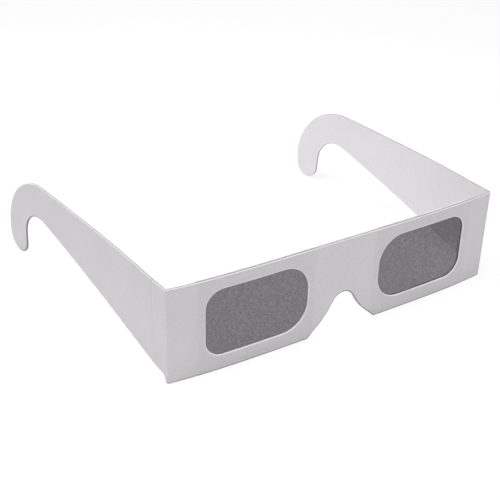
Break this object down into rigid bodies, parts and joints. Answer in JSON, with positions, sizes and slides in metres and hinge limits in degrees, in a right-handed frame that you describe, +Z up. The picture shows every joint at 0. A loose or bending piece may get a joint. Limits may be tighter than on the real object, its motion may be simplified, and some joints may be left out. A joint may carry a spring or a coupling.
{
  "type": "stereoscopic glasses",
  "caption": "Folding card glasses with a bowed laminated front, grey polarising films, a nose notch and creased temples that end in ear hooks.",
  "frame": {"origin": "middle of the mouth of the nose notch, level with the bottom edge of the front panel and with the outer face of the card at the two folds", "axes": "+X towards the right-hand temple as seen from the front, +Y from the front panel back towards the ear hooks, +Z up"},
  "size_m": [0.1553, 0.121, 0.0384],
  "materials": {
    "white_card": "uncoated white board with cut edges",
    "polariser_film": "smooth neutral grey polarising film",
    "glue": "dried white glue"
  },
  "bodies": {
    "front": {"front_card": "white_card", "rear_card": "white_card", "bridge_glue": "glue", "left_film": "polariser_film", "right_film": "polariser_film"},
    "left_strip": {"left_hinge_strip": "white_card"},
    "left_side": {"left_temple": "white_card"},
    "right_strip": {"right_hinge_strip": "white_card"},
    "right_side": {"right_temple": "white_card"}
  },
  "joints": [
    {"name": "left_fold", "type": "hinge", "parent": "front", "child": "left_strip", "pos_m": [-0.0714, 0.0006, 0], "axis": [0, 0, 1], "range_deg": [-88.5, 85.5]},
    {"name": "left_crease", "type": "hinge", "parent": "left_strip", "child": "left_side", "pos_m": [-0.07204, 0.00877, 0], "axis": [0, 0, 1], "range_deg": [-6.5, 6.5]},
    {"name": "right_fold", "type": "hinge", "parent": "front", "child": "right_strip", "pos_m": [0.0714, 0.0006, 0], "axis": [0, 0, -1], "range_deg": [-76, 90]},
    {"name": "right_crease", "type": "hinge", "parent": "right_strip", "child": "right_side", "pos_m": [0.0714, 0.0088, 0], "axis": [0, 0, -1], "range_deg": [-6.5, 6.5]}
  ],
  "couplings": [
    {"joint": "left_crease", "follows": "left_fold", "ratio": 0.065},
    {"joint": "right_crease", "follows": "right_fold", "ratio": 0.065}
  ]
}
